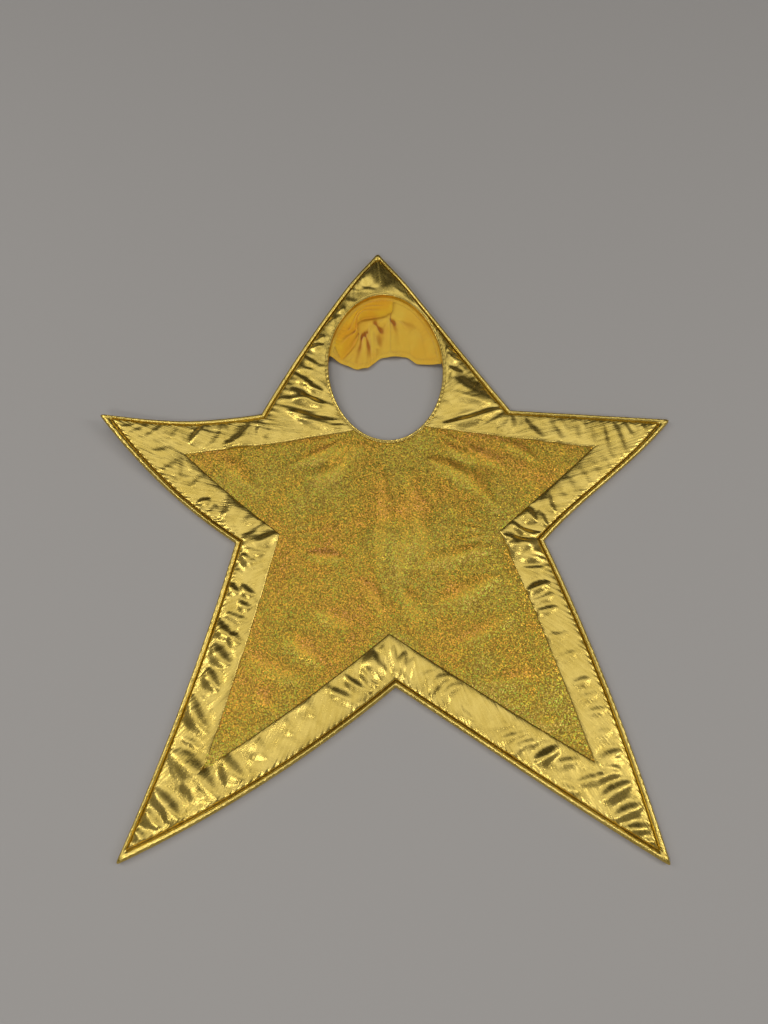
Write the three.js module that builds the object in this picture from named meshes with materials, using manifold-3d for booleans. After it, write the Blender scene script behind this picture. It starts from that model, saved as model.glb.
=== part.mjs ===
// A gold star costume panel: a padded five-pointed star worn on the front of the body, with a face opening
// and a soft hood sewn behind the upper half of that opening. Millimetres, +Z up. The panel lies on its back,
// face up, with the head end at +Y. Left and right are as seen from the front.
import * as THREE from "three";
import { mergeVertices } from "three/addons/utils/BufferGeometryUtils.js";
import Module from "manifold-3d";

const wasm = await Module();
wasm.setup();

// The star's corners, clockwise from the top point. bow is how far the edge that starts at this corner
// stands outside its straight chord, near its start and near its end, because boning springs it outwards.
const CORNERS = [
  { edge: "top_right", x: -13, y: 484, bow: [0, 0], point: true },
  { edge: "right_arm_upper", x: 201, y: 181, bow: [0, 0] },
  { edge: "right_arm_lower", x: 453, y: 163, bow: [9, -6], point: true },
  { edge: "right_leg_outer", x: 239, y: -39, bow: [9, 9] },
  { edge: "right_leg_inner", x: 371, y: -484, bow: [4, 0], point: true },
  { edge: "left_leg_inner", x: 15, y: -255, bow: [14, 14] },
  { edge: "left_leg_outer", x: -353, y: -484, bow: [-8, -8], point: true },
  { edge: "left_arm_lower", x: -226, y: -41, bow: [12, 12] },
  { edge: "left_arm_upper", x: -453, y: 168, bow: [-8, -8], point: true },
  { edge: "top_left", x: -199, y: 177, bow: [9, 9] },
];
const INSET_CORNERS = [
  { x: 10, y: 215, bow: [0, 0] },
  { x: 61, y: 151, bow: [0, 0] },
  { x: 325, y: 114, bow: [2, 0] },
  { x: 172, y: -24, bow: [3, 3] },
  { x: 283, y: -354, bow: [2, 2] },
  { x: 6, y: -179, bow: [5, 5] },
  { x: -246, y: -364, bow: [-3, -3] },
  { x: -159, y: -27, bow: [3, 3] },
  { x: -315, y: 106, bow: [-2, -2] },
  { x: -44, y: 147, bow: [0, 0] },
];
const FAR = 30; // past every height
const SLAB_FLOOR = -60; // where the solids that slabs are cut from start
const PRISM_DEPTH = 120; // through every slab
const OVERLAP = 0.01; // so that two cuts leave no sliver between them
const EDGE_STEPS = 6; // straight pieces in one curved edge
const TIP_CUT = 7; // how far from a point its rounding starts
const CONTROL_PER_BOW = 4 / 3; // how far a control point must stand off to bow the curve by 1

// The face opening is an egg of four quarter curves, narrower at the chin.
const FACE = { top: [-5, 389.5], right: [93.5, 251], bottom: [6, 128], left: [-93, 266] };
const QUARTER = 0.55; // control length of a quarter curve, as a share of its radius
const QUARTER_STEPS = 7;
const BINDING_WIDTH = 5;

// Heights above the lifted base surface, and insets from the star's edge.
const RIM_HEIGHT = 11; // the rolled edge, which the panel rests on
const RIM_WIDTH = 9; // from the edge to the topstitched valley
const CLOTH = 0.8;
const WALL = 1;
const BACK_SKIN = 3; // underside of the back cloth between the rims
const FRONT_SKIN = 8.2; // underside of the front cloth
const MEETING = RIM_HEIGHT / 2; // where the front and back cloth meet round the edge
const GAP = 0.3;
const BINDING_LOW = 1.5;
const BINDING_HIGH = 9.8;
const BONING_INSET = 4.2;
const BONING_RADIUS = 1.6;
const BONING_TRIM = 15; // bare length at each end of a rod
const BONING_STEPS = 9;
const BONING_SIDES = 8;

// The hood fills the upper half of the opening. HEM_LINE is its free edge, left to right.
const HOOD_INSET = 8;
const SEAM_BAND_WIDTH = 4.2;
const HEM_WIDTH = 11;
const HOOD_SEAM_X = 8;
const HOOD_THICK = 3;
const HEM_PROUD = 0.5; // how far the doubled hem stands out of the panels, each side
const BAND_LOW = 2;
const BAND_HIGH = 5;
const HALF_PLANE = { side: 150, top: 420 }; // past the opening
const HEM_LINE = [
  [-100, 284],
  [-66, 267],
  [-46, 259],
  [-28, 262],
  [-8, 280],
  [36, 283],
  [52, 269],
  [100, 266],
];

const ELASTIC = { y: 59, width: 25, length: 356, thick: 1.1, z: 0.75 };
const PATCH = { size: 34, thick: 0.6, z: 2.15, x: 162 };

// The base surface: it rises under the face opening, where the hood lies folded, and at the left arm's tip.
const FACE_LIFT = 18;
const FACE_LIFT_WIDTH = 110;
const ARM_LIFT = 22;
const smooth = (t) => THREE.MathUtils.smoothstep(t, 0, 1);
function lift(x, y) {
  const rise = smooth((y - 90) / 200) * (1 - 0.45 * smooth((y - 400) / 84));
  const face = FACE_LIFT * rise * Math.exp(-((x / FACE_LIFT_WIDTH) ** 2));
  const arm = ARM_LIFT * smooth((-290 - x) / 190) * smooth(y / 90);
  return face + arm;
}
// The hood slopes from the rim down to its hem, which lies just off the ground.
const hoodLift = (x, y) => 4 + 14 * smooth((y - 265) / 116);

// Grid lines of the lifted slabs, close together where the base surface bends.
const GRID_X = [
  -460, -430, -400, -370, -335, -290, -230, -180, -135, -95, -60, -25, 10, 45, 80, 120, 165, 230, 460,
];
const GRID_Y = [-490, 0, 45, 90, 125, 160, 200, 240, 280, 320, 360, 400, 440, 490];

function solidOf(geometry) {
  geometry.deleteAttribute("normal");
  geometry.deleteAttribute("uv");
  const merged = mergeVertices(geometry, 1e-4);
  return new wasm.Manifold(
    new wasm.Mesh({
      numProp: 3,
      vertProperties: new Float32Array(merged.attributes.position.array),
      triVerts: new Uint32Array(merged.index.array),
    }),
  );
}

// Everything below one height above a surface, as wide as the whole grid.
function below(height, surface) {
  const nx = GRID_X.length - 1;
  const ny = GRID_Y.length - 1;
  const box = new THREE.BoxGeometry(1, 1, 1, nx, ny, 1);
  const at = box.attributes.position;
  for (let i = 0; i < at.count; i++) {
    const x = GRID_X[Math.round((at.getX(i) + 0.5) * nx)];
    const y = GRID_Y[Math.round((at.getY(i) + 0.5) * ny)];
    at.setXYZ(i, x, y, at.getZ(i) < 0 ? SLAB_FLOOR : surface(x, y) + height);
  }
  return solidOf(box);
}

// A slab between two heights above a surface. Both faces have the same facets, so layers keep their gaps.
const slab = (low, high, surface = lift) => below(high, surface).subtract(below(low, surface));

// A tall prism on an outline, to cut slabs with.
function prism(points) {
  const options = { depth: PRISM_DEPTH, bevelEnabled: false };
  const geometry = new THREE.ExtrudeGeometry(new THREE.Shape(points), options);
  return solidOf(geometry.translate(0, 0, -PRISM_DEPTH / 2));
}

// Corners moved inwards by inset along the mitre of their two edges' chords.
function insetCorners(corners, inset) {
  const at = corners.map((c) => new THREE.Vector2(c.x, c.y));
  const normals = at.map((p, i) => {
    const along = at[(i + 1) % at.length].clone().sub(p).normalize();
    return new THREE.Vector2(-along.y, along.x);
  });
  return at.map((p, i) => {
    const before = normals[(i + at.length - 1) % at.length];
    const mitre = before.clone().add(normals[i]).divideScalar(1 + before.dot(normals[i]));
    return p.clone().addScaledVector(mitre, -inset);
  });
}

// The curve of one edge: a cubic whose control points stand off the chord so that the curve does by its bow.
function edgeCurve(corners, index, inset) {
  const at = insetCorners(corners, inset);
  const a = at[index];
  const b = at[(index + 1) % at.length];
  const along = b.clone().sub(a);
  const out = new THREE.Vector2(-along.y, along.x).normalize();
  const control = (share, bow) =>
    a.clone().addScaledVector(along, share).addScaledVector(out, bow * CONTROL_PER_BOW);
  const [first, second] = corners[index].bow;
  return new THREE.CubicBezierCurve(a, control(1 / 3, first), control(2 / 3, second), b);
}

function starOutline(corners, inset) {
  const outline = [];
  const curves = corners.map((_, i) => edgeCurve(corners, i, inset));
  curves.forEach((curve, i) => {
    const previous = curves[(i + curves.length - 1) % curves.length];
    const corner = curve.v0;
    if (corners[i].point) {
      const before = previous.getPoint(1 - TIP_CUT / previous.getLength());
      const after = curve.getPoint(TIP_CUT / curve.getLength());
      const middle = before.clone().add(after).multiplyScalar(0.25).addScaledVector(corner, 0.5);
      outline.push(before, middle, after);
    } else {
      outline.push(corner);
    }
    for (let k = 1; k < EDGE_STEPS; k++) outline.push(curve.getPoint(k / EDGE_STEPS));
  });
  return outline;
}

function faceOutline(grow) {
  const top = new THREE.Vector2(FACE.top[0], FACE.top[1] + grow);
  const right = new THREE.Vector2(FACE.right[0] + grow, FACE.right[1]);
  const bottom = new THREE.Vector2(FACE.bottom[0], FACE.bottom[1] - grow);
  const left = new THREE.Vector2(FACE.left[0] - grow, FACE.left[1]);
  const quarter = (a, b, fromLevel) => {
    const reach = b.clone().sub(a).multiplyScalar(QUARTER);
    const leave = a.clone().add(fromLevel ? new THREE.Vector2(reach.x, 0) : new THREE.Vector2(0, reach.y));
    const arrive = b.clone().sub(fromLevel ? new THREE.Vector2(0, reach.y) : new THREE.Vector2(reach.x, 0));
    return new THREE.CubicBezierCurve(a, leave, arrive, b);
  };
  const quarters = [
    quarter(top, right, true),
    quarter(right, bottom, false),
    quarter(bottom, left, true),
    quarter(left, top, false),
  ];
  return quarters.flatMap((curve) => curve.getPoints(QUARTER_STEPS).slice(1));
}

const star = (inset) => prism(starOutline(CORNERS, inset));
const face = (grow) => prism(faceOutline(grow));
const insetStar = (grow) => prism(starOutline(INSET_CORNERS, -grow));

// Back cloth: a flat skin with a channel for the boning all round, open at the top.
function backCover() {
  return slab(0, MEETING - GAP / 2)
    .intersect(star(0))
    .subtract(face(BINDING_WIDTH + GAP))
    .subtract(slab(CLOTH, FAR).intersect(star(WALL)).subtract(star(RIM_WIDTH - WALL)))
    .subtract(slab(BACK_SKIN + CLOTH, FAR).intersect(star(RIM_WIDTH - WALL - OVERLAP)))
    .subtract(slab(-FAR, BACK_SKIN).intersect(star(RIM_WIDTH)));
}

// Front cloth border: the upper half of the channel, the topstitched valley and the band inside it.
function frontBorder() {
  const top = RIM_HEIGHT - CLOTH;
  return slab(MEETING + GAP / 2, RIM_HEIGHT)
    .intersect(star(0))
    .subtract(face(BINDING_WIDTH + GAP))
    .subtract(insetStar(GAP))
    .subtract(slab(-FAR, top).intersect(star(WALL)).subtract(star(RIM_WIDTH - WALL)))
    .subtract(slab(-FAR, FRONT_SKIN).intersect(star(RIM_WIDTH - WALL - OVERLAP)))
    .subtract(slab(FRONT_SKIN + CLOTH, FAR).intersect(star(RIM_WIDTH)));
}

const hologramInset = () =>
  slab(FRONT_SKIN, FRONT_SKIN + CLOTH).intersect(insetStar(0)).subtract(face(BINDING_WIDTH + GAP));

const waddingCore = () =>
  slab(BACK_SKIN + CLOTH + GAP, FRONT_SKIN - GAP)
    .intersect(star(RIM_WIDTH + GAP))
    .subtract(face(BINDING_WIDTH + GAP));

const faceBinding = () =>
  slab(BINDING_LOW, BINDING_HIGH).intersect(face(BINDING_WIDTH)).subtract(face(0));

// A band of the plane above a line of points, shifted in Y.
function aboveLine(line, shift, right = HALF_PLANE.side, left = -HALF_PLANE.side) {
  const inside = line.filter(([x]) => x > left && x < right).map(([x, y]) => new THREE.Vector2(x, y + shift));
  const level = (x) => {
    const k = Math.max(1, line.findIndex(([px]) => px >= x));
    const [[ax, ay], [bx, by]] = [line[k - 1], line[k]];
    return ay + ((by - ay) * (x - ax)) / (bx - ax) + shift;
  };
  const ends = (x) => new THREE.Vector2(x, level(THREE.MathUtils.clamp(x, line[0][0], line.at(-1)[0])));
  const corners = [new THREE.Vector2(right, HALF_PLANE.top), new THREE.Vector2(left, HALF_PLANE.top)];
  return prism([ends(left), ...inside, ends(right), ...corners]);
}

const hoodPanel = (left, right) =>
  slab(0, HOOD_THICK, hoodLift)
    .intersect(face(-HOOD_INSET))
    .intersect(aboveLine(HEM_LINE, HEM_WIDTH + GAP, right, left));

const hoodHem = () =>
  slab(-HEM_PROUD, HOOD_THICK + HEM_PROUD, hoodLift)
    .intersect(face(-HOOD_INSET))
    .intersect(aboveLine(HEM_LINE, 0))
    .subtract(aboveLine(HEM_LINE, HEM_WIDTH));

// The strip of hood cloth caught in the seam behind the binding, round the upper half of the opening.
const hoodSeamBand = () =>
  slab(BAND_LOW, BAND_HIGH)
    .intersect(face(-GAP))
    .subtract(face(-GAP - SEAM_BAND_WIDTH))
    .intersect(aboveLine(HEM_LINE, HEM_WIDTH));

// One plastic rod in the edge channel, bent along its edge.
function boningRod(index) {
  const curve = edgeCurve(CORNERS, index, BONING_INSET);
  const trim = BONING_TRIM / curve.getLength();
  const path = Array.from({ length: BONING_STEPS + 1 }, (_, k) => {
    const p = curve.getPoint(THREE.MathUtils.lerp(trim, 1 - trim, k / BONING_STEPS));
    return new THREE.Vector3(p.x, p.y, lift(p.x, p.y) + MEETING);
  });
  const section = new THREE.Shape(
    Array.from({ length: BONING_SIDES }, (_, k) => {
      const turn = (2 * Math.PI * k) / BONING_SIDES;
      return new THREE.Vector2(Math.cos(turn), Math.sin(turn)).multiplyScalar(BONING_RADIUS);
    }),
  );
  const extrudePath = new THREE.CatmullRomCurve3(path);
  const options = { steps: BONING_STEPS, extrudePath, bevelEnabled: false };
  return solidOf(new THREE.ExtrudeGeometry(section, options));
}

const plate = (x, y, z, width, depth, height) =>
  solidOf(new THREE.BoxGeometry(width, depth, height).translate(x, y, z + height / 2));

const FINISHES = {
  foil: { color: 0xc9a557, roughness: 0.28, metalness: 0.9 },
  hologram: { color: 0xa8842f, roughness: 0.4, metalness: 0.7 },
  jersey: { color: 0xe0a23a, roughness: 0.9, metalness: 0 },
  wadding: { color: 0xf0eee8, roughness: 1, metalness: 0 },
  lining: { color: 0xc9a04a, roughness: 0.8, metalness: 0 },
  boning: { color: 0xe8e8e4, roughness: 0.5, metalness: 0 },
  elastic: { color: 0xf4f2ec, roughness: 0.85, metalness: 0 },
};
const materials = Object.fromEntries(
  Object.entries(FINISHES).map(([name, look]) => [name, new THREE.MeshStandardMaterial({ name, ...look })]),
);

const panel = new THREE.Group();
const hood = new THREE.Group();

function add(group, name, finish, solid) {
  const { vertProperties, triVerts } = solid.getMesh();
  const geometry = new THREE.BufferGeometry();
  geometry.setAttribute("position", new THREE.BufferAttribute(vertProperties, 3));
  geometry.setIndex(new THREE.BufferAttribute(triVerts, 1));
  geometry.computeVertexNormals();
  const mesh = new THREE.Mesh(geometry, materials[finish]);
  mesh.name = name;
  group.add(mesh);
}

add(panel, "front_border", "foil", frontBorder());
add(panel, "hologram_inset", "hologram", hologramInset());
add(panel, "wadding_core", "wadding", waddingCore());
add(panel, "back_cover", "lining", backCover());
add(panel, "face_binding", "foil", faceBinding());
add(panel, "hood_seam_band", "jersey", hoodSeamBand());
CORNERS.forEach(({ edge }, i) => add(panel, `boning_${edge}`, "boning", boningRod(i)));
const { y, width, length, thick, z } = ELASTIC;
add(panel, "back_elastic", "elastic", plate(0, y, z, length, width, thick));
const patch = (x) => plate(x, y, PATCH.z, PATCH.size, PATCH.size, PATCH.thick);
add(panel, "elastic_patch_left", "lining", patch(-PATCH.x));
add(panel, "elastic_patch_right", "lining", patch(PATCH.x));

add(hood, "hood_left_panel", "jersey", hoodPanel(-HALF_PLANE.side, HOOD_SEAM_X - GAP / 2));
add(hood, "hood_right_panel", "jersey", hoodPanel(HOOD_SEAM_X + GAP / 2, HALF_PLANE.side));
add(hood, "hood_hem", "jersey", hoodHem());

const costume = new THREE.Group();
costume.add(panel, hood);

export default costume;
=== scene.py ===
import bmesh
import bpy
import numpy as np
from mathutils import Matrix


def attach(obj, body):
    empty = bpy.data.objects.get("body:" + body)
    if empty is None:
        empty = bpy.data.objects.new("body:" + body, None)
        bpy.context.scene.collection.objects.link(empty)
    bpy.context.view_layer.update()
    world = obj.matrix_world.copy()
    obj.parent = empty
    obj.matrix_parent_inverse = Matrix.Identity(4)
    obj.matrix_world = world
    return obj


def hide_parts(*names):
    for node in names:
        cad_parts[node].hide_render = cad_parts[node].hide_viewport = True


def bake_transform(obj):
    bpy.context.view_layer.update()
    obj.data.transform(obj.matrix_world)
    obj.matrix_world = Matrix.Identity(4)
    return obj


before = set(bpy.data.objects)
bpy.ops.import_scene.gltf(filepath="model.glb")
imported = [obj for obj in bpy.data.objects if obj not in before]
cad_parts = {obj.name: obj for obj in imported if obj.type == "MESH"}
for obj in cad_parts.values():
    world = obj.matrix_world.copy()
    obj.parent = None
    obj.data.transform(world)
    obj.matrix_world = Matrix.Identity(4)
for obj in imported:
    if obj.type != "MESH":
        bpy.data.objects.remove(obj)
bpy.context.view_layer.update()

# Boning: ten springy white plastic rods in the channel round the star's edge, which bow its edges outwards.
# They are the frame's own solids, given a milky plastic with faint drag marks from the die.


class Shade:
    """An output socket in a material. Sums, differences and products on it add their Math nodes."""

    def __init__(self, socket):
        self.socket = socket

    def node(self, kind, settings, inputs, out=0):
        """Adds a node of a kind: settings first, a ramp's stops among them, then each socket's value or link."""
        tree = self.socket.id_data
        made = tree.nodes.new("ShaderNode" + kind)
        for key, value in settings.items():
            if key == "stops":
                ramp = made.color_ramp.elements
                while len(ramp) < len(value):
                    ramp.new(0.5)
                for stop, (position, colour) in zip(ramp, value):
                    stop.position, stop.color = position, (*colour, 1)
            else:
                setattr(made, key, value)
        for key, value in inputs.items():
            if isinstance(value, Shade):
                tree.links.new(value.socket, made.inputs[key])
            else:
                made.inputs[key].default_value = value
        return Shade(made.outputs[out]) if made.outputs else None

    def maths(self, operation, first, second=0.0):
        return self.node("Math", {"operation": operation}, {0: first, 1: second})

    def __add__(self, other):
        return self.maths("ADD", self, other)

    def __sub__(self, other):
        return self.maths("SUBTRACT", self, other)

    def __rsub__(self, other):
        return self.maths("SUBTRACT", other, self)

    def __mul__(self, other):
        return self.maths("MULTIPLY", self, other)

    __radd__, __rmul__ = __add__, __mul__

    def between(self, low, high):
        """0 where this is below low, 1 where it is above high, and eased between."""
        settings = {"interpolation_type": "SMOOTHSTEP"}
        return self.node("MapRange", settings, {"Value": self, "From Min": low, "From Max": high})

    def blend(self, first, second):
        """The first colour where this is 0 and the second where it is 1."""
        return self.node("Mix", {"data_type": "RGBA"}, {0: self, 6: first, 7: second}, out=2)

    def noise(self, scale, detail=2.0, roughness=0.5):
        """Soft noise on these coordinates, with scale features to the metre."""
        inputs = {"Vector": self, "Scale": scale, "Detail": detail, "Roughness": roughness}
        return self.node("TexNoise", {}, inputs, out="Fac")

    def stretched(self, x, y, z, turn=0.0):
        """These coordinates turned about Z and then scaled, so that a pattern on them is drawn out."""
        scaled = {"Vector": self, "Rotation": (0, 0, turn), "Scale": (x, y, z)}
        return self.node("Mapping", {}, scaled)

    def bump(self, place, depth):
        """The normal of a surface whose height is this times depth, in metres."""
        return place.node("Bump", {}, {"Strength": 1.0, "Distance": depth, "Height": self})


def begin(name, coordinates="Object"):
    """A new material and its coordinates, from which its other nodes are made."""
    made = bpy.data.materials.new(name)
    made.use_nodes = True
    made.node_tree.nodes.clear()
    start = made.node_tree.nodes.new("ShaderNodeTexCoord")
    return made, Shade(start.outputs[coordinates])


def close(place, inputs):
    """Ends a material in a Principled shader with these sockets."""
    shader = place.node("BsdfPrincipled", {}, inputs)
    place.node("OutputMaterial", {}, {"Surface": shader})


boning_plastic, place = begin("boning_plastic")
drag = place.stretched(1, 1, 6).noise(700, detail=3)
close(
    place,
    {
        "Base Color": drag.blend((0.74, 0.74, 0.70, 1), (0.84, 0.84, 0.81, 1)),
        "Roughness": 0.35 + 0.25 * drag,
        "Normal": drag.bump(place, 0.0002),
        "Subsurface Weight": 0.15,
    },
)
for node_name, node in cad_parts.items():
    if node_name.startswith("boning_"):
        node.data.materials.clear()
        node.data.materials.append(boning_plastic)

# Back lining: one piece of gold satin cut as a star, with a hole for the face. It is turned up round the boning
# and meets the front cloth at the edge of the star, so the lower half of the edge roll is its own.

# Each corner of the star, clockwise from the top point: x, y, and the bow of the edge that starts there, near
# its start and near its end. All lengths are in millimetres until weave() makes them metres.
STAR = np.array(
    [
        (-13, 484, 0, 0),
        (201, 181, 0, 0),
        (453, 163, 9, -6),
        (239, -39, 9, 9),
        (371, -484, 4, 0),
        (15, -255, 14, 14),
        (-353, -484, -8, -8),
        (-226, -41, 12, 12),
        (-453, 168, -8, -8),
        (-199, 177, 9, 9),
    ],
    float,
)
SHARP = (0, 2, 4, 6, 8)  # the corners that are points
TIP_CUT = 7  # how far from a point its rounding starts
FACE = np.array([(-5, 389.5), (93.5, 251), (6, 128), (-93, 266)], float)  # top, right, bottom and left
QUARTER_REACH = 0.55
EDGE_RADIUS = 3.9  # the edge roll's half width
EDGE_MIDDLE = 5.5  # its half height, where the front and back cloth meet
VALLEY = 8.4  # from the star's edge to the topstitched valley
LINING_Z = 2.6
FACE_LIFT, FACE_LIFT_WIDTH, ARM_LIFT = 18, 110, 22
LATTICE = 128


def star_line(corners, s, inset=0.0, cut=0.0):
    """Points on a star's outline, where s counts edges clockwise. An edge is a cubic whose two controls stand off
    the thirds of its chord by its bow over 0.75, between corners moved inwards along their mitres by inset. Within
    cut of a sharp point the line is a parabola with the corner as its control."""
    at, bow = corners[:, :2], corners[:, 2:] / 0.75
    along = np.roll(at, -1, 0) - at
    normal = np.stack([-along[:, 1], along[:, 0]], 1) / np.linalg.norm(along, axis=1)[:, None]
    before = np.roll(normal, 1, 0)
    mitre = (before + normal) / (1 + (before * normal).sum(1))[:, None]
    inset = np.broadcast_to(inset, np.shape(s))[:, None]

    def on_edge(edge, t):
        t = np.broadcast_to(t, np.shape(s))[:, None]
        edge = edge % len(at)
        following = (edge + 1) % len(at)
        a, b = at[edge] - inset * mitre[edge], at[following] - inset * mitre[following]
        chord = b - a
        out = np.stack([-chord[:, 1], chord[:, 0]], 1) / np.linalg.norm(chord, axis=1)[:, None]
        c = a + chord / 3 + out * bow[edge, :1]
        d = a + chord * 2 / 3 + out * bow[edge, 1:]
        return (1 - t) ** 3 * a + 3 * (1 - t) ** 2 * t * c + 3 * (1 - t) * t**2 * d + t**3 * b

    s = np.mod(s, len(at))
    edge = np.minimum(s.astype(int), len(at) - 1)
    line = on_edge(edge, s - edge)
    nearest = np.round(s).astype(int)
    length = np.linalg.norm(along, axis=1)
    ahead, behind = length[nearest % len(at)], length[(nearest - 1) % len(at)]
    away = (s - nearest) * np.where(s >= nearest, ahead, behind)
    rounded = (np.abs(away) < cut) & np.isin(nearest % len(at), SHARP)
    if cut and rounded.any():
        u = (np.clip(away / cut, -1, 1)[:, None] + 1) / 2
        first, last = on_edge(nearest - 1, 1 - cut / behind), on_edge(nearest, cut / ahead)
        corner = on_edge(nearest, 0.0)
        tip = (1 - u) ** 2 * first + 2 * u * (1 - u) * corner + u**2 * last
        line = np.where(rounded[:, None], tip, line)
    return line


def face_line(t, grow=0.0):
    """Points on the egg-shaped face opening, where t counts its four quarters clockwise from the top. Each is a
    cubic that leaves level or upright and reaches QUARTER_REACH of the way to its far end's line."""
    outwards = np.array([(0, 1), (1, 0), (0, -1), (-1, 0)])
    grow = np.broadcast_to(grow, np.shape(t))[:, None]
    t = np.mod(t, 4)
    quarter = np.minimum(t.astype(int), 3)
    following = (quarter + 1) % 4
    u = (t - quarter)[:, None]
    a, b = FACE[quarter] + grow * outwards[quarter], FACE[following] + grow * outwards[following]
    reach = QUARTER_REACH * (b - a)
    level = (quarter % 2 == 0)[:, None]
    c = a + np.where(level, reach * (1, 0), reach * (0, 1))
    d = b - np.where(level, reach * (0, 1), reach * (1, 0))
    return (1 - u) ** 3 * a + 3 * (1 - u) ** 2 * u * c + 3 * (1 - u) * u**2 * d + u**3 * b


def smooth(t):
    """0 below 0, 1 above 1 and 3t^2 - 2t^3 between."""
    t = np.clip(t, 0, 1)
    return t * t * (3 - 2 * t)


def lift(x, y):
    """How far the panel's underside is off the ground: a rise under the face opening, where the hood lies folded,
    falling off to its sides as a bell curve, and a smaller one that curls up the left arm's tip."""
    rise = smooth((y - 90) / 200) * (1 - 0.45 * smooth((y - 400) / 84))
    curl = smooth((-290 - x) / 190) * smooth(y / 90)
    return FACE_LIFT * rise * np.exp(-((x / FACE_LIFT_WIDTH) ** 2)) + ARM_LIFT * curl


def noise(x, y, size, seed):
    """Smooth noise between -1 and 1: random heights on a lattice, eased between its points. The size of the lattice
    is one number, or one along x and one along y."""
    heights = np.random.default_rng(seed).uniform(-1, 1, (LATTICE, LATTICE))
    along, up = np.broadcast_to(size, 2)
    u, v = np.asarray(x) / along + 500.3, np.asarray(y) / up + 500.7
    i, j = np.floor(u).astype(int), np.floor(v).astype(int)
    u, v = smooth(u - i), smooth(v - j)

    def at(di, dj):
        return heights[(i + di) % LATTICE, (j + dj) % LATTICE]

    return (at(0, 0) * (1 - u) + at(1, 0) * u) * (1 - v) + (at(0, 1) * (1 - u) + at(1, 1) * u) * v


def steps_round(corners, spacing):
    """Values of s about spacing apart along every edge of a star."""
    lengths = np.linalg.norm(np.roll(corners[:, :2], -1, 0) - corners[:, :2], axis=1)
    return np.concatenate(
        [i + np.linspace(0, 1, int(length / spacing), endpoint=False) for i, length in enumerate(lengths)]
    )


def placed(name, data):
    """A new object of a mesh, lamp or camera, linked to the scene."""
    made = bpy.data.objects.new(name, data)
    bpy.context.scene.collection.objects.link(made)
    return made


def weave(name, grid, around=True, across=False, pole=None, flip=False, uv=None, shade=None):
    """A smooth mesh on a grid of points in millimetres. Columns run clockwise seen from the side that shows and
    rows inwards; around and across join the last column or row to the first, and pole closes the last row. The
    cloth's map is uv, in millimetres too, and the last one is painted shade or painted highlight at each point."""
    rows, columns = grid.shape[:2]
    index = np.arange(rows * columns).reshape(rows, columns)
    if around:
        index = np.hstack([index, index[:, :1]])
    if across:
        index = np.vstack([index, index[:1]])
    quads = np.stack([index[:-1, :-1], index[1:, :-1], index[1:, 1:], index[:-1, 1:]], -1).reshape(-1, 4)
    points = grid.reshape(-1, 3)
    fan = np.empty((0, 3), int)
    if pole is not None:
        points = np.vstack([points, pole])
        last = index[-1]
        fan = np.stack([last[:-1], np.full(len(last) - 1, len(points) - 1), last[1:]], -1)
    if flip:
        quads, fan = quads[:, ::-1], fan[:, ::-1]
    corners = np.concatenate([quads.ravel(), fan.ravel()])
    starts = np.concatenate([np.arange(len(quads)) * 4, len(quads) * 4 + np.arange(len(fan)) * 3])
    mesh = bpy.data.meshes.new(name)
    mesh.vertices.add(len(points))
    mesh.vertices.foreach_set("co", (points * 0.001).astype(np.float32).ravel())
    mesh.loops.add(len(corners))
    mesh.loops.foreach_set("vertex_index", corners.astype(np.int32))
    mesh.polygons.add(len(starts))
    mesh.polygons.foreach_set("loop_start", starts.astype(np.int32))
    mesh.polygons.foreach_set("use_smooth", np.ones(len(starts), bool))
    if uv is not None:
        layer = mesh.uv_layers.new(name="cloth")
        layer.data.foreach_set("uv", (uv.reshape(-1, 2)[corners] * 0.001).astype(np.float32).ravel())
    if shade is not None:
        values = np.append(shade.ravel(), np.zeros(len(points) - shade.size)).astype(np.float32)
        mesh.attributes.new("shade", "FLOAT", "POINT").data.foreach_set("value", values)
    mesh.update(calc_edges=True)
    mesh.validate()
    return placed(name, mesh)


def raised(plan, height):
    """Points over a plan, at a height above the panel's underside."""
    x, y = plan[..., 0], plan[..., 1]
    return np.stack([x, y, lift(x, y) + height], -1)


# The inset star's corners, in the same order: the layers under it are woven on its lines too.
INSET = np.array(
    [
        (10, 215, 0, 0),
        (61, 151, 0, 0),
        (325, 114, 2, 0),
        (172, -24, 3, 3),
        (283, -354, 2, 2),
        (6, -179, 5, 5),
        (-246, -364, -3, -3),
        (-159, -27, 3, 3),
        (-315, 106, -2, -2),
        (-44, 147, 0, 0),
    ],
    float,
)
INSET_MIDDLE = np.array([5.0, 20.0])
HOLE_HEM = 2.5  # how far the front cloths' edge is from the opening, under the binding

# The two places where the inset's edge meets the opening, in quarters of the opening.
dense = np.linspace(1, 3, 2001)
on_hole = face_line(dense, HOLE_HEM)
MEETS = [dense[np.argmin(np.linalg.norm(on_hole - INSET[k, :2], axis=1))] for k in (1, 9)]
INSET[1, :2], INSET[9, :2] = face_line(np.array(MEETS), HOLE_HEM)


def inner_line(s):
    """The band's inner edge, where s counts as on the star: the edge of the inset from one meeting with the
    opening round to the other, and the opening's upper arc between them."""
    over = np.interp(s, [0, 1, 9, 10], [0, MEETS[0], MEETS[1], 4])
    on_seam = ((s >= 1) & (s <= 9))[:, None]
    return np.where(on_seam, star_line(INSET, s), face_line(over, HOLE_HEM))


def middle_plan(s, rows, grow=0.0):
    """The inset star as rings round its middle: its edge, and the opening's lower arc, shrunk row by row."""
    seamed = s[(s >= 1) & (s < 9)]
    arc = np.linspace(MEETS[1], MEETS[0], 60, endpoint=False)
    edge = np.concatenate([star_line(INSET, seamed, -grow), face_line(arc, HOLE_HEM)])
    shares = (1 - np.linspace(0, 1, rows, endpoint=False) ** 0.9)[:, None, None]
    return INSET_MIDDLE + shares * (edge - INSET_MIDDLE)


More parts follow.
